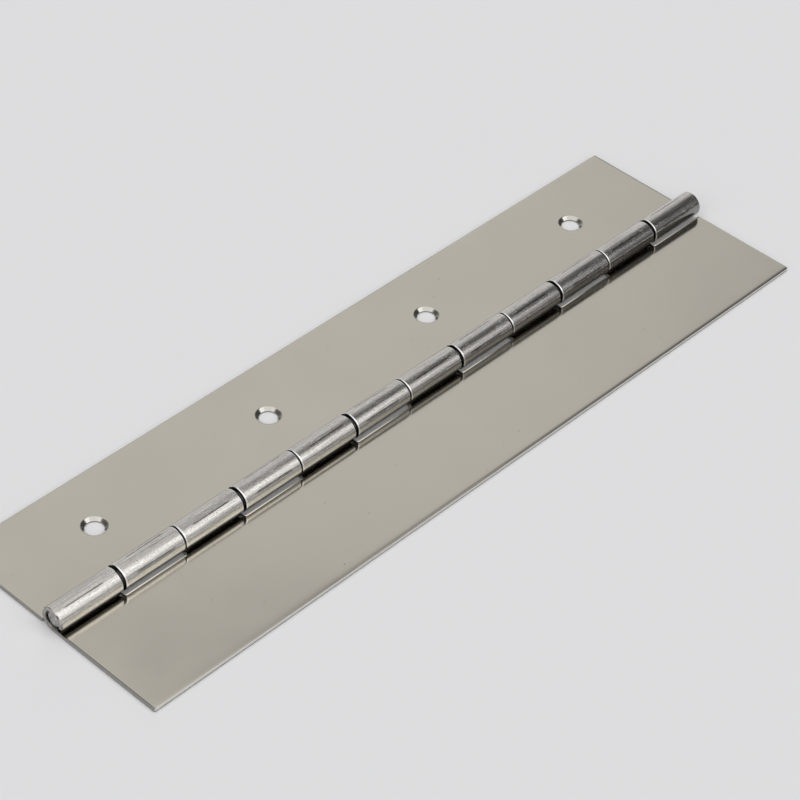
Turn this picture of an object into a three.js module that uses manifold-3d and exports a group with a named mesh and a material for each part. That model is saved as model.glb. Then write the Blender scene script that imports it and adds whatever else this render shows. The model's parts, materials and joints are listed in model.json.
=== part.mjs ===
// Piano hinge (continuous hinge), lying open and flat. Millimetres, +Z up.
//
// The pin runs along X, the drilled leaf lies toward +Y and the plain leaf toward -Y. The
// backs of both leaves lie in the plane z = 0, and the origin is in that plane, under the
// middle of the pin. Each leaf is one stamped sheet whose knuckles are rolled from the sheet
// itself, up and over the pin, so the barrel stands proud of the leaves on one side only.

import * as THREE from 'three';
import { mergeVertices } from 'three/addons/utils/BufferGeometryUtils.js';
import Module from 'manifold-3d';

// ---- driving dimensions ----
const LEAF_LENGTH = 300;        // along the pin
const LEAF_REACH = 45;          // from the pin's axis to a leaf's long edge
const SHEET = 1.5;              // sheet thickness
const PIN_DIAMETER = 5.5;
const PIN_CLEARANCE = 0.3;      // radial, between the pin and a knuckle's bore
const PIN_RECESS = 0.5;         // each end of the pin sits this far inside the barrel
const PIN_CHAMFER = 0.35;
const KNUCKLE_COUNT = 12;       // along the barrel, taken by the two leaves in turn
const WIDE_GAP = 1.0;           // between knuckles, where the end play has opened the joint
const THIN_GAP = 0.3;           // between knuckles, where it has closed the joint
const NOTCH_CLEARANCE = 0.35;   // from a notch's edge to the other leaf's knuckle
const NOTCH_CORNER = 0.8;       // radius of a notch's inner corners
const SEAM = 1.5;               // from a knuckle's rolled tip down to its own leaf
const HOLE_COUNT = 4;
const HOLE_PITCH = 75;
const HOLE_OFFSET = 24;         // from the pin's axis to the row of screw holes
const HOLE_DIAMETER = 6.3;
const SINK_DIAMETER = 8.6;      // countersink, at the leaf's face
const SINK_ANGLE = 100;         // countersink, included angle in degrees

// ---- fineness of the round shapes ----
const ARC_STEP = THREE.MathUtils.degToRad(9);
const CORNER_STEP = THREE.MathUtils.degToRad(22.5);
const HOLE_SIDES = 32;
const PIN_SIDES = 40;

// ---- values that follow ----
const PIN_RADIUS = PIN_DIAMETER / 2;
const BORE_RADIUS = PIN_RADIUS + PIN_CLEARANCE;
const KNUCKLE_RADIUS = BORE_RADIUS + SHEET;
const AXIS_HEIGHT = KNUCKLE_RADIUS;             // the leaves' backs are level with the barrel's
const NOTCH_EDGE = KNUCKLE_RADIUS + NOTCH_CLEARANCE;
const HALF_LENGTH = LEAF_LENGTH / 2;
const KNUCKLE_PITCH = LEAF_LENGTH / KNUCKLE_COUNT;
const CUT_BACK = (WIDE_GAP + THIN_GAP) / 4;     // at each knuckle end inside the barrel
const END_PLAY = (WIDE_GAP - THIN_GAP) / 2;     // shift of one leaf against the other
const BARREL_LENGTH = LEAF_LENGTH + END_PLAY;

const SHEET_STEEL = { color: 0xa9a69f, metalness: 1.0, roughness: 0.22 };
const PIN_STEEL = { color: 0x8f8c88, metalness: 1.0, roughness: 0.4 };

const wasm = await Module();
wasm.setup();

// A closed three.js geometry as a solid that can be joined and cut.
function toSolid(geometry) {
  const bare = geometry.clone();
  bare.deleteAttribute('normal');
  bare.deleteAttribute('uv');
  const merged = mergeVertices(bare, 1e-4);
  return new wasm.Manifold(new wasm.Mesh({
    numProp: 3,
    vertProperties: new Float32Array(merged.attributes.position.array),
    triVerts: new Uint32Array(merged.index.array),
  }));
}

function toGeometry(solid) {
  const mesh = solid.getMesh();
  const geometry = new THREE.BufferGeometry();
  geometry.setAttribute('position', new THREE.BufferAttribute(mesh.vertProperties, 3));
  geometry.setIndex(new THREE.BufferAttribute(mesh.triVerts, 1));
  geometry.computeVertexNormals();
  return geometry;
}

// Points along an arc about (cx, cy), its two end points included.
function arc(cx, cy, radius, from, to, step) {
  const steps = Math.ceil(Math.abs(to - from) / step);
  return Array.from({ length: steps + 1 }, (_, i) => {
    const angle = from + ((to - from) * i) / steps;
    return new THREE.Vector2(cx + radius * Math.cos(angle), cy + radius * Math.sin(angle));
  });
}

// Both leaves are the same stamping but for the screw holes, so one is drawn here, lying
// toward -Y. It owns the first, third, fifth... place along the barrel, and its first
// knuckle is flush with its end. Turned half round about Z it is the other leaf, and owns
// the places between.
function knuckleSpans() {
  const spans = [];
  for (let place = 0; place < KNUCKLE_COUNT; place += 2) {
    const start = -HALF_LENGTH + place * KNUCKLE_PITCH;
    const cutBack = place === 0 ? 0 : CUT_BACK;
    spans.push({ from: start + cutBack, to: start + KNUCKLE_PITCH - CUT_BACK });
  }
  return spans;
}

// Outline of the flat sheet, in (x, y). Between its tongues, which go on into the knuckles,
// it is notched back to NOTCH_EDGE, with a round corner beside each tongue.
function sheetOutline() {
  const root = -NOTCH_EDGE;
  const tongueEnd = -KNUCKLE_RADIUS / 2;
  const corner = root + NOTCH_CORNER;
  const points = [
    new THREE.Vector2(-HALF_LENGTH, -LEAF_REACH),
    new THREE.Vector2(HALF_LENGTH, -LEAF_REACH),
    new THREE.Vector2(HALF_LENGTH, root),
  ];
  for (const { from, to } of knuckleSpans().reverse()) {
    points.push(...arc(to + NOTCH_CORNER, corner, NOTCH_CORNER, -Math.PI / 2, -Math.PI, CORNER_STEP));
    points.push(new THREE.Vector2(to, tongueEnd));
    points.push(new THREE.Vector2(from, tongueEnd));
    if (from > -HALF_LENGTH) {
      points.push(...arc(from - NOTCH_CORNER, corner, NOTCH_CORNER, 0, -Math.PI / 2, CORNER_STEP));
    }
  }
  return new THREE.Shape(points);
}

// Section through a knuckle, in (y, z): the sheet comes in under the pin, goes up its far
// side and over it, and its tip comes down to just above the sheet again, cut level with it.
function knuckleSection() {
  const sheetEnd = -NOTCH_EDGE - SHEET;
  const drop = AXIS_HEIGHT - SHEET - SEAM;
  const bottom = -Math.PI / 2;
  const top = Math.PI / 2;
  const outerTip = Math.PI + Math.asin(drop / KNUCKLE_RADIUS);
  const innerTip = Math.PI + Math.asin(drop / BORE_RADIUS);
  return new THREE.Shape([
    new THREE.Vector2(sheetEnd, SHEET),
    new THREE.Vector2(sheetEnd, 0),
    ...arc(0, AXIS_HEIGHT, KNUCKLE_RADIUS, bottom, top, ARC_STEP),
    ...arc(0, AXIS_HEIGHT, KNUCKLE_RADIUS, top, outerTip, ARC_STEP).slice(1),
    ...arc(0, AXIS_HEIGHT, BORE_RADIUS, innerTip, top, ARC_STEP),
    ...arc(0, AXIS_HEIGHT, BORE_RADIUS, top, bottom, ARC_STEP).slice(1),
  ]);
}

function extrude(shape, depth) {
  return new THREE.ExtrudeGeometry(shape, { depth, steps: 1, bevelEnabled: false });
}

// A knuckle between two places along the pin: its section's (y, z) plane is stood up.
function knuckle({ from, to }) {
  const geometry = extrude(knuckleSection(), to - from);
  const alongPin = new THREE.Matrix4().makeBasis(
    new THREE.Vector3(0, 1, 0),
    new THREE.Vector3(0, 0, 1),
    new THREE.Vector3(1, 0, 0),
  );
  geometry.applyMatrix4(alongPin);
  geometry.translate(from, 0, 0);
  return toSolid(geometry);
}

function leaf() {
  return knuckleSpans().reduce(
    (solid, span) => solid.add(knuckle(span)),
    toSolid(extrude(sheetOutline(), SHEET)),
  );
}

// A vertical cutter from z = bottom up to z = top, at one screw hole.
function holeCutter(x, bottomRadius, topRadius, bottom, top) {
  const geometry = new THREE.CylinderGeometry(topRadius, bottomRadius, top - bottom, HOLE_SIDES);
  geometry.rotateX(Math.PI / 2);
  geometry.translate(x, -HOLE_OFFSET, (bottom + top) / 2);
  return toSolid(geometry);
}

function drilled(solid) {
  const past = 1;
  const slope = Math.tan(THREE.MathUtils.degToRad(SINK_ANGLE / 2));
  const holeRadius = HOLE_DIAMETER / 2;
  const sinkRadius = SINK_DIAMETER / 2;
  const sinkFloor = SHEET - (sinkRadius - holeRadius) / slope;
  let result = solid;
  for (let i = 0; i < HOLE_COUNT; i += 1) {
    const x = (i - (HOLE_COUNT - 1) / 2) * HOLE_PITCH;
    const hole = holeCutter(x, holeRadius, holeRadius, -past, SHEET + past);
    const sink = holeCutter(x, holeRadius, sinkRadius + past * slope, sinkFloor, SHEET + past);
    result = result.subtract(hole).subtract(sink);
  }
  return result;
}

function pinGeometry() {
  const end = BARREL_LENGTH / 2 - PIN_RECESS;
  const profile = [
    new THREE.Vector2(0, -end),
    new THREE.Vector2(PIN_RADIUS - PIN_CHAMFER, -end),
    new THREE.Vector2(PIN_RADIUS, -end + PIN_CHAMFER),
    new THREE.Vector2(PIN_RADIUS, end - PIN_CHAMFER),
    new THREE.Vector2(PIN_RADIUS - PIN_CHAMFER, end),
    new THREE.Vector2(0, end),
  ];
  const geometry = new THREE.LatheGeometry(profile, PIN_SIDES);
  geometry.rotateZ(-Math.PI / 2);
  return geometry;
}

function namedMesh(name, geometry, look) {
  const mesh = new THREE.Mesh(geometry, new THREE.MeshStandardMaterial(look));
  mesh.name = name;
  return mesh;
}

const plainLeaf = namedMesh('plain_leaf', toGeometry(leaf()), SHEET_STEEL);
plainLeaf.position.x = -END_PLAY / 2;

const drilledLeaf = namedMesh('drilled_leaf', toGeometry(drilled(leaf())), SHEET_STEEL);
drilledLeaf.position.x = END_PLAY / 2;
drilledLeaf.rotation.z = Math.PI;

const hingePin = namedMesh('hinge_pin', pinGeometry(), PIN_STEEL);
hingePin.position.z = AXIS_HEIGHT;

const hinge = new THREE.Group();
hinge.add(drilledLeaf, plainLeaf, hingePin);

export default hinge;
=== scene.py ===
"""A bright stainless piano hinge, lying open and flat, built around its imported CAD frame.

Metres, +Z up. The pin runs along X, the drilled leaf lies toward +Y, the plain one toward -Y.
"""

import json
import math

import bpy
from mathutils import Matrix, Vector, noise
from mathutils.geometry import delaunay_2d_cdt


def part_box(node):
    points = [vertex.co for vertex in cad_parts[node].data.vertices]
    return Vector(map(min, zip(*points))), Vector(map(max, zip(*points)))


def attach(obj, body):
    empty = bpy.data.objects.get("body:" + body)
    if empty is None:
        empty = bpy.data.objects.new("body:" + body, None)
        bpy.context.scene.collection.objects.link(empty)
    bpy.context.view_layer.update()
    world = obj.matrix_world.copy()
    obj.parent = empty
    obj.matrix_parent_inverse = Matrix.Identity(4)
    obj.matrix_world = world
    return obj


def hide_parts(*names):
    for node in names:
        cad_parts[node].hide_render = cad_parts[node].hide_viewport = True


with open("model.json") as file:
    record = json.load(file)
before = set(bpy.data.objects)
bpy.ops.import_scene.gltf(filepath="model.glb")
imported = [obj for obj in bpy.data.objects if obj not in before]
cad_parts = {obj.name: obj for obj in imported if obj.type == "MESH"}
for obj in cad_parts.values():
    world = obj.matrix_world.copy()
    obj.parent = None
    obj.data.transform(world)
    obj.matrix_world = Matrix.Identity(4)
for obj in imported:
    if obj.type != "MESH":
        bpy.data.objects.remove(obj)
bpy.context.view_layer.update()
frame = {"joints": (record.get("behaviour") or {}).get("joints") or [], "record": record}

MM = 0.001

# ---- sizes, from the frame ----
PLAIN_LOW, PLAIN_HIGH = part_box("plain_leaf")
DRILLED_LOW, DRILLED_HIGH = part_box("drilled_leaf")
PIN_LOW, PIN_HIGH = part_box("hinge_pin")
AXIS_HEIGHT = frame["joints"][0]["pos_m"][2]
KNUCKLE_RADIUS = PLAIN_HIGH.y
LEAF_REACH = -PLAIN_LOW.y
LEAF_LENGTH = PLAIN_HIGH.x - PLAIN_LOW.x
PLAIN_SHIFT = (PLAIN_HIGH.x + PLAIN_LOW.x) / 2
DRILLED_SHIFT = (DRILLED_HIGH.x + DRILLED_LOW.x) / 2
PIN_RADIUS = (PIN_HIGH.y - PIN_LOW.y) / 2
HOLES = [
    Vector([(low + high) / 2 for low, high in zip(*opening["box_m"])])
    for opening in frame["record"]["physics"]["openings"]
]

# ---- sizes that the frame doesn't give ----
SHEET = 1.5 * MM
SEAM = 1.5 * MM                 # from a knuckle's tip down to its own leaf
KNUCKLE_COUNT = 12
CUT_BACK = 0.325 * MM           # at each knuckle end inside the barrel
NOTCH_CLEARANCE = 0.35 * MM
NOTCH_CORNER = 0.8 * MM
LEAF_CORNER = 0.5 * MM
TIP_CORNER = 0.6 * MM
HOLE_RADIUS = 3.15 * MM
SINK_RADIUS = 4.3 * MM
SINK_ANGLE = math.radians(100)
ROLL_OVER = 0.12 * MM           # the round edge that shearing leaves
KNUCKLE_ROLL_OVER = 0.42 * MM   # rolling the knuckles rounds their edges further
NOTCH_BURR = 0.24 * MM          # how far a notch's edge stands up above the face
BURR_SLOPE = (                  # inward of the burr, as shares of its height: (in, down)
    (0.175, 0.10), (0.46, 0.51), (0.745, 0.915), (0.925, 1.0),
)
HOLDING = 0.1 * MM              # a flat strip beside an edge keeps the face's shading flat
DROOP = 0.05 * MM               # how far the face bends down at a long edge, in a wide bend
DROOP_WIDTH = 3.5 * MM
DRAG = 0.20 * MM                # and how much further the shears dragged it, in a tight one
DRAG_WIDTH = 1.5 * MM
DRAG_START = 0.1                # the share of the drag's depth at the start of the cut
DRAG_RUN = 100 * MM             # the cut's length over which the drag grows by all its depth
HOLE_LIP = 0.06 * MM            # the worn edges of a screw hole
PIN_OFFSET = Vector((0, -0.14 * MM, 0.15 * MM))     # the pin rests to one side of the bores
PIN_EDGE = 0.45 * MM            # the round edge of its ends
PIN_CROWN = 0.12 * MM           # how far the middle of its ends stands out
TORN_DEPTH = 0.05 * MM          # how uneven its ends are
TORN_SIZE = 0.9 * MM

# ---- fineness ----
CURL_STEP = math.radians(4.5)
CORNER_STEPS = 5
HOLE_SIDES = 96
PIN_SIDES = 96
PIN_END_RINGS = (0.2, 0.4, 0.6, 0.75, 0.9, 1.0)     # shares of the radius inside its edge
PIN_STRAIGHT = 2 * MM           # from an end of the pin to the first ring of its side
EDGE_ROWS = [d * MM for d in (0.36, 0.5, 0.68, 0.9, 1.2, 1.6, 2.4, 3.5)]    # from a long edge
EDGE_COLUMNS = 15               # the points of such a row, on each side of its middle
EDGE_COLUMNS_INSET = 0.8 * MM   # from a leaf's end to the outermost of them

# ---- values that follow ----
HALF_LENGTH = LEAF_LENGTH / 2
PITCH = LEAF_LENGTH / KNUCKLE_COUNT
NOTCH_EDGE = -KNUCKLE_RADIUS - NOTCH_CLEARANCE
TONGUE_START = NOTCH_EDGE + NOTCH_CORNER
DROP = KNUCKLE_RADIUS - SHEET - SEAM
CURL_END = math.radians(270) + math.asin(DROP / KNUCKLE_RADIUS)
WARP_START = math.radians(240)
TIP = CURL_END * KNUCKLE_RADIUS


# ---------------------------------------------------------------- the leaves
# A leaf is drawn flat first, as the blank that was stamped: x along the pin, s across the
# sheet (s = 0 is under the pin, the leaf lies toward -s, the tongues toward +s) and n
# through it, from the back (0) to the face (SHEET). Then every point is bent into place.


def curl_angle(s, n):
    """How far round the pin a point of a tongue comes. The tip is cut level with the sheet."""
    angle = s / KNUCKLE_RADIUS
    if angle <= WARP_START:
        return angle
    end = math.radians(270) + math.asin(DROP / (KNUCKLE_RADIUS - n))
    return WARP_START + (angle - WARP_START) * (end - WARP_START) / (CURL_END - WARP_START)


def bent(x, s, n):
    """A point of the blank, bent into place."""
    if s <= 0:
        inset = s + LEAF_REACH
        lowered = DROOP * max(0.0, 1 - inset / DROOP_WIDTH)**2
        share = min(1.0, DRAG_START + (x + HALF_LENGTH) / DRAG_RUN)
        lowered += DRAG * share * max(0.0, 1 - inset / DRAG_WIDTH)**3
        return Vector((x, s, n - lowered * n / SHEET))
    angle = curl_angle(s, n)
    radius = KNUCKLE_RADIUS - n
    return Vector((x, radius * math.sin(angle), AXIS_HEIGHT - radius * math.cos(angle)))


def corner(cx, cs, radius, start, end, outward):
    """Points of a round corner as (x, s, normal x, normal s), the normal facing off the sheet."""
    points = []
    for i in range(CORNER_STEPS + 1):
        angle = math.radians(start + (end - start) * i / CORNER_STEPS)
        c, s = math.cos(angle), math.sin(angle)
        points.append((cx + radius * c, cs + radius * s, outward * c, outward * s))
    return points


def tongue_steps():
    """Places along a tongue's straight sides, from its root to its tip."""
    flat = [TONGUE_START * f for f in (0.75, 0.5, 0.25)]
    last = TIP - TIP_CORNER
    count = math.ceil(last / (CURL_STEP * KNUCKLE_RADIUS))
    return flat + [last * i / count for i in range(count)]


def knuckle_spans():
    """Where a leaf's knuckles start and end along the pin. The first is flush with its end."""
    spans = []
    for place in range(0, KNUCKLE_COUNT, 2):
        start = place * PITCH - HALF_LENGTH
        spans.append((start + (CUT_BACK if place else 0), start + PITCH - CUT_BACK))
    return spans


def add_tongue(points, low, high, steps):
    """Adds a tongue to an outline. Gives the pairs of its points that face each other across
    the tongue, from its root to its tip."""
    tip = TIP - TIP_CORNER
    points += corner(high + NOTCH_CORNER, TONGUE_START, NOTCH_CORNER, 270, 180, -1)
    right = [len(points) - 1]
    for s in steps:
        right.append(len(points))
        points.append((high, s, 1, 0))
    right += range(len(points), len(points) + CORNER_STEPS + 1)
    points += corner(high - TIP_CORNER, tip, TIP_CORNER, 0, 90, 1)
    left = list(range(len(points), len(points) + CORNER_STEPS + 1))
    points += corner(low + TIP_CORNER, tip, TIP_CORNER, 90, 180, 1)
    for s in reversed(steps):
        left.append(len(points))
        points.append((low, s, -1, 0))
    left.append(len(points))
    if low > -HALF_LENGTH:
        points += corner(low - NOTCH_CORNER, TONGUE_START, NOTCH_CORNER, 0, -90, -1)
    else:
        points.append((low, TONGUE_START, -1, 0))
    return list(zip(right, reversed(left)))


def blank_outline():
    """The blank's outline, anticlockwise, and the pairs of facing points of each tongue."""
    half, reach, r = HALF_LENGTH, LEAF_REACH, LEAF_CORNER
    steps = tongue_steps()
    edge_rows = [d - reach for d in EDGE_ROWS if d > r]
    points = corner(-half + r, -reach + r, r, 180, 270, 1)
    points += corner(half - r, -reach + r, r, 270, 360, 1)
    points += [(half, s, 1, 0) for s in edge_rows]
    points += corner(half - r, NOTCH_EDGE - r, r, 0, 90, 1)
    tongues = [add_tongue(points, low, high, steps) for low, high in reversed(knuckle_spans())]
    points += [(-half, s, -1, 0) for s in reversed(edge_rows)]
    return points, tongues


def roll_over(s):
    """The radius of the sheared edge at a place on the outline."""
    along = min(1.0, max(0.0, 1 - s / TONGUE_START))
    return ROLL_OVER + (KNUCKLE_ROLL_OVER - ROLL_OVER) * along


def burr(s):
    """The height of the burr at a place on the outline. Only the notches' edges have one."""
    return NOTCH_BURR * max(0.0, 1 - abs(s - NOTCH_EDGE) / NOTCH_CORNER)


def edge_profile(r, rise):
    """(distance in from the outline, n) over a sheared edge, from the back to the face. The
    face's side of it stands up by rise, and slopes down again to the face behind that."""
    quarter = [math.radians(90 * i / CORNER_STEPS) for i in range(CORNER_STEPS + 1)]
    back = [(r * (1 - math.sin(a)), r * (1 - math.cos(a))) for a in quarter]
    face = [(r * (1 - math.cos(a)), SHEET + rise - r * (1 - math.sin(a))) for a in quarter]
    apart = 0.01 * MM           # keeps the slope's rows apart where there is no burr
    slope = [
        (r + rise * inward + apart * (i + 1), SHEET + rise * (1 - down))
        for i, (inward, down) in enumerate(BURR_SLOPE)
    ]
    return [(r + HOLDING, 0), *back, *face, *slope, (slope[-1][0] + HOLDING, SHEET)]


def hole_profile():
    """(radius, n) down a countersunk hole, from the face to the back."""
    lip = HOLE_LIP
    floor = SHEET - (SINK_RADIUS - HOLE_RADIUS) / math.tan(SINK_ANGLE / 2)
    cone = Vector((SINK_RADIUS - HOLE_RADIUS, SHEET - floor)).normalized() * lip
    return [
        (SINK_RADIUS + lip + HOLDING, SHEET),
        (SINK_RADIUS + lip, SHEET),
        (SINK_RADIUS + lip * 0.3, SHEET - lip * 0.25),
        (SINK_RADIUS - cone.x, SHEET - cone.y),
        (SINK_RADIUS - cone.x * 3, SHEET - cone.y * 3),
        (HOLE_RADIUS + cone.x * 1.5, floor + cone.y * 1.5),
        (HOLE_RADIUS + cone.x * 0.5, floor + cone.y * 0.5),
        (HOLE_RADIUS, floor - lip * 0.2),
        (HOLE_RADIUS, lip * 0.4),
        (HOLE_RADIUS + lip * 0.4, 0),
        (HOLE_RADIUS + lip * 0.4 + HOLDING, 0),
    ]


FLAT, CUT, SINK = 0, 1, 2       # a leaf's material slots
HOLE_LOOKS = [FLAT] + [SINK] * 6 + [CUT] + [SINK] * 2       # of the bands down a hole


class Sheet:
    """A leaf's mesh while it is drawn."""

    def __init__(self):
        self.points = []
        self.faces = []
        self.looks = []

    def ring(self, developed):
        """Adds a closed ring of (x, s, n) points, and returns their numbers."""
        first = len(self.points)
        self.points += developed
        return list(range(first, len(self.points)))

    def face(self, corners, look):
        self.faces.append(corners)
        self.looks.append(look)

    def join(self, a, b, look):
        """A band of faces between two rings of the same length."""
        for i in range(len(a)):
            j = (i + 1) % len(a)
            self.face((a[i], a[j], b[j], b[i]), look)

    def fill(self, outline, holes, inner, upward):
        """Triangles over the flat of the sheet, between its outline and its holes."""
        loops = [outline, *holes]
        numbers = [k for loop in loops for k in loop] + inner
        flat = [Vector(self.points[k][:2]) / MM for k in numbers]
        edges, first = [], 0
        for loop in loops:
            size = len(loop)
            edges += [(first + i, first + (i + 1) % size) for i in range(size)]
            first += size
        inside_outline = 1
        made = delaunay_2d_cdt(flat, edges, [], inside_outline, 1e-6)
        sources = [numbers[s[0]] for s in made[3]]
        for triangle in made[2]:
            corners = [sources[k] for k in triangle]
            in_a_hole = any(set(corners) <= set(loop) for loop in holes)
            if not in_a_hole:
                self.face(corners if upward else corners[::-1], FLAT)


def add_edge(sheet, outline):
    """Adds the sheared edge round the sheet. Gives its rings, from the back to the face."""
    profiles = [edge_profile(roll_over(s), burr(s)) for x, s, nx, ns in outline]
    rings = []
    for level in zip(*profiles):
        rings.append(sheet.ring([
            (x - nx * d, s - ns * d, n) for (x, s, nx, ns), (d, n) in zip(outline, level)
        ]))
    wall = CORNER_STEPS + 1     # the straight band between the two round ones
    for k in range(len(rings) - 1):
        sheet.join(rings[k], rings[k + 1], CUT if k == wall else FLAT)
    return rings


def add_hole(sheet, hole_x, hole_s):
    """Adds a countersunk hole. Gives its rings, from the face to the back."""
    turns = [2 * math.pi * i / HOLE_SIDES for i in range(HOLE_SIDES)]
    rings = [
        sheet.ring([(hole_x + r * math.cos(a), hole_s + r * math.sin(a), n) for a in turns])
        for r, n in hole_profile()
    ]
    for k, look in enumerate(HOLE_LOOKS):
        sheet.join(rings[k + 1], rings[k], look)
    return rings


def add_side(sheet, ring, tongues, holes, upward):
    """Covers the sheet's face or its back, inside a ring of its edge: bands across the
    tongues, which follow the curl, and triangles over the rest."""
    for pairs in tongues:
        for (a, b), (c, d) in zip(pairs, pairs[1:]):
            corners = (ring[a], ring[c], ring[d], ring[b])
            sheet.face(corners if upward else corners[::-1], FLAT)
    in_tongue = {k for pairs in tongues for pair in pairs[1:] for k in pair}
    inner = sheet.ring([
        (x * (HALF_LENGTH - EDGE_COLUMNS_INSET) / EDGE_COLUMNS, d - LEAF_REACH,
         SHEET if upward else 0)
        for d in EDGE_ROWS
        for x in range(-EDGE_COLUMNS, EDGE_COLUMNS + 1)
    ])
    outline = [ring[k] for k in range(len(ring)) if k not in in_tongue]
    sheet.fill(outline, holes, inner, upward)


def leaf_mesh(name, holes):
    """A leaf toward -Y, bent, with countersunk holes at the given (x, s) places."""
    outline, tongues = blank_outline()
    sheet = Sheet()
    edge = add_edge(sheet, outline)
    sunk = [add_hole(sheet, x, s) for x, s in holes]
    add_side(sheet, edge[0], tongues, [rings[-1] for rings in sunk], False)
    add_side(sheet, edge[-1], tongues, [rings[0] for rings in sunk], True)
    mesh = bpy.data.meshes.new(name)
    mesh.from_pydata([bent(*p) for p in sheet.points], [], sheet.faces)
    mesh.polygons.foreach_set("material_index", sheet.looks)
    mesh.validate()
    return mesh


def make_piece(mesh, materials, node, body):
    for polygon in mesh.polygons:
        polygon.use_smooth = True
    for material in materials:
        mesh.materials.append(material)
    piece = bpy.data.objects.new(node + "_detail", mesh)
    bpy.context.scene.collection.objects.link(piece)
    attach(piece, body)
    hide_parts(node)
    return piece


def make_leaf(node, body, shift, turned, materials):
    """The plain leaf lies toward -Y as it is drawn. The drilled one is turned half round."""
    place = Matrix.Translation((shift, 0, 0))
    if turned:
        place = place @ Matrix.Rotation(math.pi, 4, "Z")
    local = [place.inverted() @ hole for hole in HOLES] if turned else []
    mesh = leaf_mesh(node, [(h.x, h.y) for h in local])
    mesh.transform(place)
    return make_piece(mesh, materials, node, body)


# ---------------------------------------------------------------- the pin
WIRE, WIRE_END = 0, 1           # the pin's material slots


def pin_profile():
    """(distance along the pin from its end, radius) over its sheared, slightly crowned end."""
    flat = PIN_RADIUS - PIN_EDGE
    face = [(PIN_CROWN * (r * r), r * flat) for r in PIN_END_RINGS]
    edge = []
    for i in range(1, CORNER_STEPS + 1):
        angle = math.radians(90 * i / CORNER_STEPS)
        along = PIN_CROWN + (PIN_EDGE - PIN_CROWN) * (1 - math.cos(angle))
        edge.append((along, PIN_RADIUS - PIN_EDGE * (1 - math.sin(angle))))
    return face + edge


def pin_ring(x, r, torn):
    """Points round the pin. Those of its torn ends are uneven along it."""
    ring = []
    for i in range(PIN_SIDES):
        angle = 2 * math.pi * i / PIN_SIDES
        p = Vector((x, r * math.cos(angle), AXIS_HEIGHT + r * math.sin(angle)))
        if torn:
            p.x += TORN_DEPTH * noise.noise(p / TORN_SIZE) * (1 if x < 0 else -1)
            p.x = max(PIN_LOW.x, min(PIN_HIGH.x, p.x))
        ring.append(p)
    return ring


def pin_faces(ring_count):
    """Faces over the rings, and over the points before and after them, with their looks."""
    faces, looks = [], []
    end_rings = len(PIN_END_RINGS)
    for k in range(ring_count - 1):
        a, b = 1 + k * PIN_SIDES, 1 + (k + 1) * PIN_SIDES
        on_end = k < end_rings or k >= ring_count - 1 - end_rings
        for i in range(PIN_SIDES):
            j = (i + 1) % PIN_SIDES
            faces.append((a + i, b + i, b + j, a + j))
            looks.append(WIRE_END if on_end else WIRE)
    last = 1 + (ring_count - 1) * PIN_SIDES
    for i in range(PIN_SIDES):
        j = (i + 1) % PIN_SIDES
        faces.append((0, 1 + i, 1 + j))
        faces.append((last + PIN_SIDES, last + j, last + i))
        looks += [WIRE_END, WIRE_END]
    return faces, looks


def make_pin(materials, node, body):
    profile = pin_profile()
    rings = [(PIN_LOW.x + along, r, True) for along, r in profile]
    rings.append((PIN_LOW.x + PIN_STRAIGHT, PIN_RADIUS, False))
    rings.append((PIN_HIGH.x - PIN_STRAIGHT, PIN_RADIUS, False))
    rings += [(PIN_HIGH.x - along, r, True) for along, r in reversed(profile)]
    points = [Vector((PIN_LOW.x, 0, AXIS_HEIGHT))]
    for x, r, torn in rings:
        points += pin_ring(x, r, torn)
    points.append(Vector((PIN_HIGH.x, 0, AXIS_HEIGHT)))
    faces, looks = pin_faces(len(rings))
    mesh = bpy.data.meshes.new(node)
    mesh.from_pydata([p + PIN_OFFSET for p in points], [], faces)
    mesh.polygons.foreach_set("material_index", looks)
    return make_piece(mesh, materials, node, body)


# ---------------------------------------------------------------- materials
# the dark of the die lines, and painted shade at the knuckles' ends
LINE_AND_SHADE_DARK = (0.05, 0.05, 0.05, 1)
# painted shade low on the knuckles, where the curl meets the sheet
FOOT_SHADE_DARK = (0.04, 0.035, 0.03, 1)
DIE_LINES = ((-22, 0.032), (59, 0.030), (65, 0.020))    # (degrees, half width in radians)


class Nodes:
    """Short calls for building a node tree."""

    def __init__(self, tree):
        self.tree = tree

    def add(self, kind, inputs=None, **settings):
        node = self.tree.nodes.new(kind)
        for key, value in settings.items():
            setattr(node, key, value)
        for key, value in (inputs or {}).items():
            self.feed(node.inputs[key], value)
        return node

    def feed(self, socket, value):
        if isinstance(value, bpy.types.NodeSocket):
            self.tree.links.new(value, socket)
        else:
            socket.default_value = value

    def math(self, operation, a, b=0.0):
        return self.add("ShaderNodeMath", {0: a, 1: b}, operation=operation).outputs[0]

    def remap(self, value, low, high, to_low, to_high):
        node = self.add("ShaderNodeMapRange", {
            "Value": value, "From Min": low, "From Max": high,
            "To Min": to_low, "To Max": to_high,
        })
        return node.outputs[0]

    def mix(self, factor, a, b):
        node = self.add("ShaderNodeMix", data_type="RGBA")
        self.feed(node.inputs["Factor"], factor)
        self.feed(node.inputs[6], a)
        self.feed(node.inputs[7], b)
        return node.outputs[2]

    def blend(self, factor, a, b):
        node = self.add("ShaderNodeMix", data_type="FLOAT")
        self.feed(node.inputs["Factor"], factor)
        self.feed(node.inputs[2], a)
        self.feed(node.inputs[3], b)
        return node.outputs[0]

    def product(self, first, *rest):
        for value in rest:
            first = self.math("MULTIPLY", first, value)
        return first

    def noise(self, vector, scale, detail=2.0, roughness=0.5):
        node = self.add("ShaderNodeTexNoise", {
            "Vector": vector, "Scale": scale, "Detail": detail, "Roughness": roughness,
        })
        return node.outputs["Fac"]


def steel(name):
    """A new metal material, its node helper, its shader and its place in space as x, y, z."""
    material = bpy.data.materials.new(name)
    material.use_nodes = True
    nodes = Nodes(material.node_tree)
    shader = material.node_tree.nodes["Principled BSDF"]
    shader.inputs["Metallic"].default_value = 1.0
    where = nodes.add("ShaderNodeTexCoord").outputs["Object"]
    return material, nodes, shader, where


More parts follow.
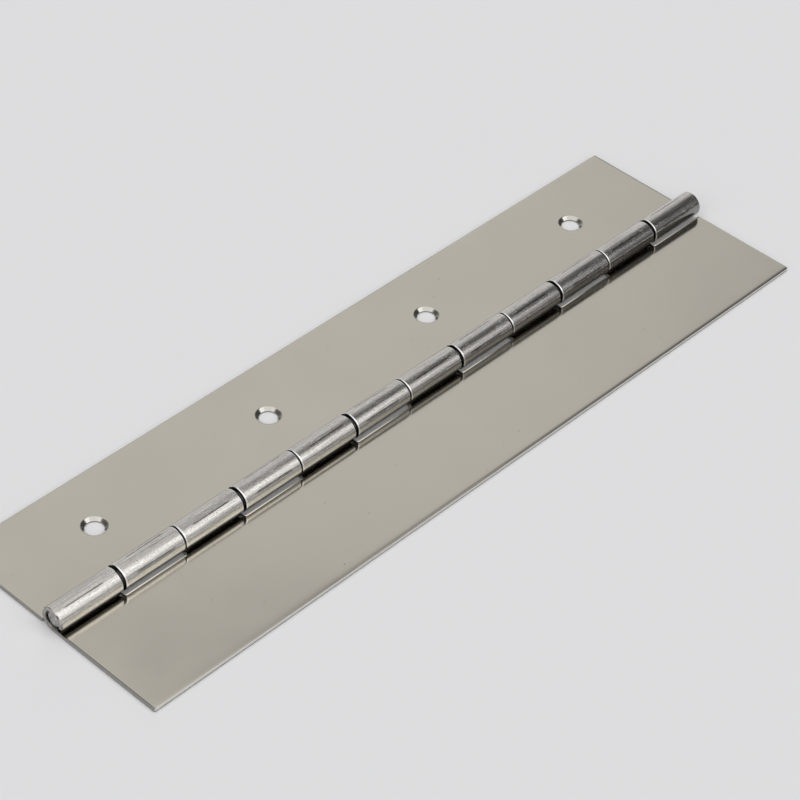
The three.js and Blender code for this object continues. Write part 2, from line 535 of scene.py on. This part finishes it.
def bump(nodes, shader, height, distance):
    node = nodes.add("ShaderNodeBump", {
        "Height": height, "Distance": distance, "Strength": 1.0,
    })
    nodes.feed(shader.inputs["Normal"], node.outputs[0])


def around_pin(nodes, where):
    """(x, angle round the pin, distance from its axis) as three sockets. The angle is 0 at
    the top of the barrel and grows toward +Y."""
    x, y, z = nodes.add("ShaderNodeSeparateXYZ", {0: where}).outputs
    rise = nodes.math("SUBTRACT", z, AXIS_HEIGHT)
    angle = nodes.math("ARCTAN2", y, rise)
    squares = nodes.math("ADD", nodes.math("POWER", y, 2.0), nodes.math("POWER", rise, 2.0))
    return x, angle, nodes.math("SQRT", squares)


def stretched(nodes, a, b, c, scales):
    """A texture place made of three sockets, each with a scale of its own."""
    values = [nodes.math("MULTIPLY", v, k) for v, k in zip((a, b, c), scales)]
    return nodes.add("ShaderNodeCombineXYZ", dict(enumerate(values))).outputs[0]


def window(nodes, value, centre, half, soft):
    """1 where a value is within half of a centre, falling to 0 over soft beyond it."""
    away = nodes.math("ABSOLUTE", nodes.math("SUBTRACT", value, centre))
    return nodes.remap(away, half, half + soft, 1.0, 0.0)


def near_pin(nodes, distance):
    """1 on the barrel, and 0 on the flats."""
    return nodes.remap(distance, KNUCKLE_RADIUS * 1.10, KNUCKLE_RADIUS * 1.02, 0.0, 1.0)


def rolled(nodes, x, angle, fineness, detail, roughness=0.5):
    """Noise over the barrel, with a fineness of its own along the pin and round it."""
    place = stretched(nodes, x, angle, 0.0, (*fineness, 0.0))
    return nodes.noise(place, 1.0, detail, roughness)


class KnucklePlace:
    """Where a point is on its own knuckle, as sockets. owner is +1 on the plain leaf's
    knuckles and -1 on the drilled leaf's, along is the distance from the knuckle's middle,
    and own_angle is the angle round the pin as that leaf's stamping has it."""

    def __init__(self, nodes, where):
        self.x, self.angle, distance = around_pin(nodes, where)
        self.on_knuckle = near_pin(nodes, distance)
        self.in_barrel = window(nodes, self.x, 0.0, HALF_LENGTH - MM, 0.3 * MM)
        places = nodes.math("DIVIDE", nodes.math("ADD", self.x, HALF_LENGTH), PITCH)
        self.number = nodes.math("FLOOR", places)
        odd = nodes.math("MODULO", self.number, 2.0)
        self.owner = nodes.math("SUBTRACT", 1.0, nodes.math("MULTIPLY", odd, 2.0))
        start = nodes.math("MULTIPLY", self.number, PITCH)
        middle = nodes.math("SUBTRACT", start, HALF_LENGTH - PITCH / 2)
        shift = nodes.math("MULTIPLY", self.owner, PLAIN_SHIFT)
        self.along = nodes.math("SUBTRACT", self.x, nodes.math("ADD", middle, shift))
        away = nodes.math("ABSOLUTE", self.along)
        self.from_end = nodes.math("SUBTRACT", PITCH / 2 - CUT_BACK, away)
        self.own_angle = nodes.math("MULTIPLY", self.angle, self.owner)


def die_lines(nodes, at):
    """Dark hairlines that the rolling die leaves along the middle of each knuckle."""
    chance = nodes.add("ShaderNodeTexWhiteNoise", {"W": at.number}, noise_dimensions="1D")
    jitter = nodes.add("ShaderNodeSeparateXYZ", {0: chance.outputs["Color"]}).outputs
    waver = nodes.noise(stretched(nodes, at.x, 0.0, at.number, (90.0, 0.0, 7.0)), 1.0, 3.0)
    place = nodes.math("ADD", at.own_angle, nodes.remap(jitter[0], 0, 1, -0.07, 0.07))
    place = nodes.math("ADD", place, nodes.remap(waver, 0, 1, -0.02, 0.02))
    middle = nodes.remap(jitter[1], 0, 1, -2 * MM, 2 * MM)
    reach = window(nodes, at.along, middle, 7 * MM, MM)
    lines = 0.0
    for degrees, half_width in DIE_LINES:
        line = window(nodes, place, math.radians(degrees), half_width, 0.010)
        lines = nodes.math("MAXIMUM", lines, line)
    specks = stretched(nodes, at.x, at.own_angle, at.number, (400.0, 60.0, 3.0))
    breaks = nodes.remap(nodes.noise(specks, 1.0, 2.0), 0.35, 0.5, 0.2, 1.0)
    return nodes.math("MULTIPLY", nodes.product(lines, reach, breaks), at.on_knuckle)


def foot_shade(nodes, at):
    """Painted shade low on a knuckle. It is darkest on the curl's tip, which only the plain
    leaf's knuckles turn toward -Y, and it climbs higher toward the barrel's +X end."""
    turn = nodes.math("ABSOLUTE", at.own_angle)
    low = nodes.remap(turn, math.radians(91), math.radians(101), 0.0, 1.0)
    low = nodes.math("MULTIPLY", low, nodes.remap(at.own_angle, -0.1, 0.1, 0.93, 0.6))
    high = nodes.remap(turn, math.radians(56), math.radians(68), 0.0, 0.58)
    high = nodes.math("MULTIPLY", high, nodes.remap(at.x, -70 * MM, 10 * MM, 0.0, 1.0))
    fade = nodes.remap(turn, math.radians(160), math.radians(140), 0.0, 1.0)
    return nodes.product(nodes.math("MAXIMUM", low, high), fade, at.on_knuckle)


def end_shade(nodes, at):
    """Painted shade at a knuckle's ends, which comes further in on one side of the wide gaps."""
    beside_wide_gap = nodes.product(
        nodes.math("GREATER_THAN", at.along, 0.0), nodes.math("GREATER_THAN", at.owner, 0.0))
    depth = nodes.blend(beside_wide_gap, 0.16 * MM, 0.38 * MM)
    return nodes.remap(nodes.math("DIVIDE", at.from_end, depth), 1.0, 0.5, 0.0, 1.0)


def with_lines_and_shade(nodes, at, tone):
    """A leaf's tone with the die lines of its knuckles on it, and painted shade low on them and
    at their ends. The barrel's outer ends stay light on top, and have painted shade below."""
    tone = nodes.mix(die_lines(nodes, at), tone, LINE_AND_SHADE_DARK)
    # painted shade low on the knuckles
    tone = nodes.mix(foot_shade(nodes, at), tone, FOOT_SHADE_DARK)
    shaded_end = end_shade(nodes, at)
    # painted shade at the knuckles' ends, inside the barrel
    tone = nodes.mix(nodes.product(shaded_end, at.on_knuckle, at.in_barrel), tone, LINE_AND_SHADE_DARK)
    # painted shade on the lower side of the barrel's outer ends
    underneath = nodes.remap(nodes.math("ABSOLUTE", at.angle), 0.9, 1.5, 0.0, 0.65)
    outer = nodes.math("SUBTRACT", 1.0, at.in_barrel)
    shaded_end_below = nodes.product(shaded_end, underneath, outer)
    return nodes.mix(shaded_end_below, tone, (0.10, 0.10, 0.10, 1))


def scuffed_tone(nodes, at, scuffs, grain):
    """The knuckles' metal: scuffed, speckled with grain, and lighter beside the gaps: a burnish,
    partly a painted highlight on the rims.
    """
    tone = nodes.mix(nodes.remap(scuffs, 0.35, 0.62, 0.0, 1.0),
                     (0.50, 0.48, 0.45, 1), (0.76, 0.74, 0.70, 1))
    tone = nodes.mix(nodes.remap(grain, 0.44, 0.32, 0.0, 0.5), tone, (0.20, 0.19, 0.18, 1))
    tone = nodes.mix(nodes.remap(grain, 0.57, 0.68, 0.0, 0.5), tone, (0.94, 0.93, 0.90, 1))
    # lighter rims beside the gaps: partly burnish, partly a painted highlight
    burnish_and_glint = window(nodes, at.from_end, 0.33 * MM, 0.20 * MM, 0.08 * MM)
    burnish_and_glint = nodes.math("MULTIPLY", burnish_and_glint, at.in_barrel)
    return nodes.mix(burnish_and_glint, tone, (0.94, 0.93, 0.91, 1))


def scratches(nodes, at):
    """Short scratches round the knuckles, in patches."""
    dashes = rolled(nodes, at.x, at.angle, (420.0, 42.0), 3.0, 0.6)
    patches = rolled(nodes, at.x, at.angle, (55.0, 2.6), 1.0)
    return nodes.product(
        nodes.remap(dashes, 0.56, 0.64, 0.0, 1.0),
        nodes.remap(patches, 0.50, 0.58, 0.0, 1.0),
        at.on_knuckle,
    )


def leaf_material():
    """Bright rolled sheet: nearly a mirror on the flats, scuffed along the knuckles."""
    material, nodes, shader, where = steel("bright_sheet")
    at = KnucklePlace(nodes, where)
    cloud = nodes.noise(where, 30.0, 3.0)
    grain = nodes.noise(where, 2600.0, 2.0, 0.6)
    pits = nodes.remap(nodes.noise(where, 1300.0, 0.0), 0.85, 0.88, 0.0, 1.0)
    scuffs = rolled(nodes, at.x, at.angle, (70.0, 11.0), 5.0, 0.62)
    streaks = rolled(nodes, at.x, at.angle, (22.0, 5.0), 3.0)
    fine = rolled(nodes, at.x, at.angle, (700.0, 9.0), 3.0, 0.7)
    scratched = scratches(nodes, at)

    tone = nodes.mix(nodes.remap(cloud, 0.35, 0.65, 0.0, 1.0),
                     (0.642, 0.606, 0.530, 1), (0.662, 0.628, 0.548, 1))
    tone = nodes.mix(at.on_knuckle, tone, scuffed_tone(nodes, at, scuffs, grain))
    tone = nodes.mix(scratched, tone, (0.88, 0.86, 0.83, 1))
    tone = nodes.mix(pits, tone, (0.22, 0.21, 0.20, 1))
    nodes.feed(shader.inputs["Base Color"], with_lines_and_shade(nodes, at, tone))

    flat_rough = nodes.remap(cloud, 0.3, 0.7, 0.11, 0.15)
    knuckle_rough = nodes.remap(streaks, 0.3, 0.7, 0.07, 0.14)
    rough = nodes.blend(at.on_knuckle, flat_rough, knuckle_rough)
    rough = nodes.blend(scratched, rough, 0.42)
    nodes.feed(shader.inputs["Roughness"], rough)

    wear = nodes.math("ADD", scuffs, nodes.math("MULTIPLY", grain, 0.30))
    wear = nodes.math("ADD", wear, nodes.math("MULTIPLY", fine, 0.45))
    height = nodes.math("MULTIPLY", wear, at.on_knuckle)
    height = nodes.math("SUBTRACT", height, nodes.math("MULTIPLY", pits, 0.3))
    bump(nodes, shader, height, 0.03 * MM)
    return material


def cut_material():
    """Sheared edges: fine ridges through the sheet, duller than the faces. The long edges are
    painted lighter, as painted light from the lit floor they face, but for a darker strip along
    the back, which is partly torn and partly painted shade where they meet the floor. Between
    the knuckles they are painted near black, as painted shade in the gaps."""
    material, nodes, shader, where = steel("sheared_edge")
    px, py, pz = nodes.add("ShaderNodeSeparateXYZ", {0: where}).outputs
    distance = around_pin(nodes, where)[2]
    inside_ends = window(nodes, px, 0.0, HALF_LENGTH - MM, 0.2 * MM)
    gap_shade = nodes.math("MULTIPLY", near_pin(nodes, distance), inside_ends)
    ridges = nodes.noise(stretched(nodes, px, py, pz, (2500.0, 2500.0, 250.0)), 1.0, 2.0)
    tone = nodes.mix(ridges, (0.28, 0.27, 0.26, 1), (0.44, 0.43, 0.41, 1))
    # the long edges painted lighter: painted light from the lit floor
    long_edge_light = nodes.mix(ridges, (0.62, 0.61, 0.59, 1), (0.80, 0.785, 0.76, 1))
    # a darker strip at their back: partly torn, partly painted shade at the floor
    torn = nodes.remap(pz, 0.38 * MM, 0.50 * MM, 1.0, 0.0)
    long_edge_light = nodes.mix(torn, long_edge_light, (0.20, 0.195, 0.19, 1))
    reach = nodes.math("ABSOLUTE", py)
    on_long_edge = nodes.remap(
        reach, LEAF_REACH - 0.3 * MM, LEAF_REACH - 0.15 * MM, 0.0, 1.0)
    tone = nodes.mix(on_long_edge, tone, long_edge_light)
    # painted shade in the gaps between the knuckles
    tone = nodes.mix(gap_shade, tone, (0.06, 0.06, 0.06, 1))
    nodes.feed(shader.inputs["Base Color"], tone)
    nodes.feed(shader.inputs["Roughness"], nodes.remap(ridges, 0.3, 0.7, 0.28, 0.45))
    bump(nodes, shader, ridges, 0.03 * MM)
    return material


def sink_material():
    """Countersinks: turned with a cutter, so fine rings run round them."""
    material, nodes, shader, where = steel("turned_sink")
    x, y, z = nodes.add("ShaderNodeSeparateXYZ", {0: where}).outputs
    pitch = HOLES[1].x - HOLES[0].x
    along = nodes.math("SUBTRACT", x, HOLES[0].x - pitch / 2)
    along = nodes.math("SUBTRACT", nodes.math("WRAP", along, pitch), pitch / 2)
    across = nodes.math("SUBTRACT", y, HOLES[0].y)
    squares = nodes.math("ADD", nodes.math("POWER", along, 2.0), nodes.math("POWER", across, 2.0))
    radius = nodes.math("SQRT", squares)
    rings = nodes.noise(stretched(nodes, radius, 0.0, 0.0, (9000.0, 0.0, 0.0)), 1.0, 2.0)
    tone = nodes.mix(rings, (0.60, 0.58, 0.53, 1), (0.70, 0.68, 0.62, 1))
    nodes.feed(shader.inputs["Base Color"], tone)
    nodes.feed(shader.inputs["Roughness"], nodes.remap(rings, 0.3, 0.7, 0.10, 0.16))
    bump(nodes, shader, rings, 0.008 * MM)
    return material


def wire_material():
    """The pin's side: drawn wire, with fine lines along it."""
    material, nodes, shader, where = steel("drawn_wire")
    x, angle = around_pin(nodes, where)[:2]
    lines = rolled(nodes, x, angle, (60.0, 30.0), 3.0)
    tone = nodes.mix(lines, (0.50, 0.49, 0.47, 1), (0.62, 0.61, 0.58, 1))
    nodes.feed(shader.inputs["Base Color"], tone)
    nodes.feed(shader.inputs["Roughness"], nodes.remap(lines, 0.3, 0.7, 0.22, 0.38))
    bump(nodes, shader, lines, 0.02 * MM)
    return material


def wire_end_material():
    """The pin's ends: torn by the shears, so mottled and dull."""
    material, nodes, shader, where = steel("sheared_wire_end")
    torn = nodes.remap(nodes.noise(where, 1300.0, 4.0, 0.65), 0.35, 0.65, 0.0, 1.0)
    tone = nodes.mix(torn, (0.20, 0.19, 0.19, 1), (0.70, 0.68, 0.66, 1))
    nodes.feed(shader.inputs["Base Color"], tone)
    nodes.feed(shader.inputs["Roughness"], nodes.remap(torn, 0.3, 0.7, 0.40, 0.60))
    bump(nodes, shader, torn, 0.12 * MM)
    return material


# ---------------------------------------------------------------- studio
# Azimuths are in degrees from +Y toward +X, elevations above the horizon.
CAMERA_TURN = -48.7             # azimuth of the view, from +Y toward -X
CAMERA_RISE = 41.3
CAMERA_ROLL = 3.64
CAMERA_DISTANCE = 0.8892
CAMERA_SLIDE = (-0.00027, 0.00072)
CAMERA_LENS = 121.76

WALL = (                        # (azimuth, brightness) round the horizon
    (-180, 0.55), (-75, 0.55), (-55, 0.10), (-5, 0.10), (14, 0.52), (30, 0.68), (50, 0.70),
    (60, 0.60), (76, 0.16), (92, 0.05), (128, 0.07), (146, 0.14), (158, 0.50), (180, 0.55),
)
WALL_TOP = (47.3, 44.9)         # the elevations between which the wall fades half way to
HIGH_WALL = 0.19                # this brightness
CEILING = 0.93                  # a wide softbox overhead, which ends short of the +X side
KEY = 1.36                      # a brighter one, in front on the +X side
SIDE = 1.25                     # one on the -X side, which picks out the ends of the knuckles
FLOOR = (0.935, 0.935, 0.948, 1)
FLOOR_REACH = 6.0               # from its middle to its sides


def make_camera():
    turn, rise, roll = map(math.radians, (CAMERA_TURN, CAMERA_RISE, CAMERA_ROLL))
    back = Vector((
        math.sin(turn) * math.cos(rise), -math.cos(turn) * math.cos(rise), math.sin(rise)))
    level = Vector((math.cos(turn), math.sin(turn), 0))
    upright = back.cross(level)
    right = math.cos(roll) * level + math.sin(roll) * upright
    up = math.cos(roll) * upright - math.sin(roll) * level
    data = bpy.data.cameras.new("camera")
    data.lens = CAMERA_LENS
    data.sensor_width = 36
    data.clip_start = 0.01
    camera = bpy.data.objects.new("camera", data)
    place = CAMERA_SLIDE[0] * right + CAMERA_SLIDE[1] * up + CAMERA_DISTANCE * back
    turned = Matrix((right, up, back)).transposed().to_4x4()
    camera.matrix_world = Matrix.Translation(place) @ turned
    bpy.context.scene.collection.objects.link(camera)
    bpy.context.scene.camera = camera


def grey(value):
    return value, value, value, 1


def brightness_ramp(nodes, azimuth, stops):
    """A grey ramp over the azimuth, which runs from 0 at -180 degrees to 1 at 180."""
    ramp = nodes.add("ShaderNodeValToRGB", {"Fac": azimuth})
    elements = ramp.color_ramp.elements
    ramp.color_ramp.interpolation = "B_SPLINE"
    while len(elements) < len(stops):
        elements.new(0.5)
    for element, (degrees, value) in zip(elements, stops):
        element.position = degrees / 360 + 0.5
        element.color = grey(value)
    return ramp.outputs[0]


def softbox(nodes, light, brightness, *edges):
    """Lays a softbox over the light, where all of its edges let it through."""
    return nodes.mix(nodes.product(*edges), light, grey(brightness))


def make_world():
    world = bpy.data.worlds.new("studio")
    world.use_nodes = True
    bpy.context.scene.world = world
    nodes = Nodes(world.node_tree)
    toward = nodes.add("ShaderNodeTexCoord").outputs["Generated"]
    x, y, z = nodes.add("ShaderNodeSeparateXYZ", {0: toward}).outputs
    height = nodes.math("MAXIMUM", z, 0.03)
    over_x = nodes.math("DIVIDE", x, height)
    over_y = nodes.math("DIVIDE", y, height)
    slant = nodes.math("ADD", nodes.math("MULTIPLY", over_x, 1.5), over_y)
    turn = nodes.math("DEGREES", nodes.math("ARCTAN2", x, y))
    rise = nodes.math("DEGREES", nodes.math("ARCSINE", z))

    wall = brightness_ramp(nodes, nodes.remap(turn, -180, 180, 0, 1), WALL)
    high_wall = nodes.mix(0.5, wall, grey(HIGH_WALL))
    light = nodes.mix(nodes.remap(rise, *WALL_TOP, 0, 1), high_wall, wall)
    light = softbox(
        nodes, light, CEILING,
        nodes.remap(over_x, 0.605, 0.53, 0, 1),
        nodes.remap(rise, 44, 49, 0, 1),
    )
    light = softbox(
        nodes, light, KEY,
        nodes.remap(slant, 0.72, 0.42, 0, 1),
        nodes.remap(turn, 88, 100, 0, 1),
        nodes.remap(turn, 178, 168, 0, 1),
        nodes.remap(rise, 6, 36, 0.10, 1),
    )
    light = softbox(
        nodes, light, SIDE,
        nodes.remap(turn, -178, -168, 0, 1),
        nodes.remap(turn, -66, -78, 0, 1),
        nodes.remap(rise, 14, 24, 0, 1),
        nodes.remap(rise, 58, 44, 0, 1),
    )
    background = world.node_tree.nodes["Background"]
    nodes.feed(background.inputs["Color"], light)


def make_floor():
    r = FLOOR_REACH
    mesh = bpy.data.meshes.new("floor")
    corners = [(-r, -r, 0), (r, -r, 0), (r, r, 0), (-r, r, 0)]
    mesh.from_pydata(corners, [], [(0, 1, 2, 3)])
    material = bpy.data.materials.new("pale_floor")
    material.use_nodes = True
    shader = material.node_tree.nodes["Principled BSDF"]
    shader.inputs["Base Color"].default_value = FLOOR
    shader.inputs["Roughness"].default_value = 0.9
    shader.inputs["Specular IOR Level"].default_value = 0.1
    mesh.materials.append(material)
    floor = bpy.data.objects.new("floor", mesh)
    bpy.context.scene.collection.objects.link(floor)


# ---------------------------------------------------------------- assembly
make_camera()
sheet_looks = [leaf_material(), cut_material(), sink_material()]
make_leaf("plain_leaf", "plain_side", PLAIN_SHIFT, False, sheet_looks)
make_leaf("drilled_leaf", "drilled_side", DRILLED_SHIFT, True, sheet_looks)
make_pin([wire_material(), wire_end_material()], "hinge_pin", "drilled_side")
make_world()
make_floor()
bpy.context.scene.view_settings.view_transform = "Standard"
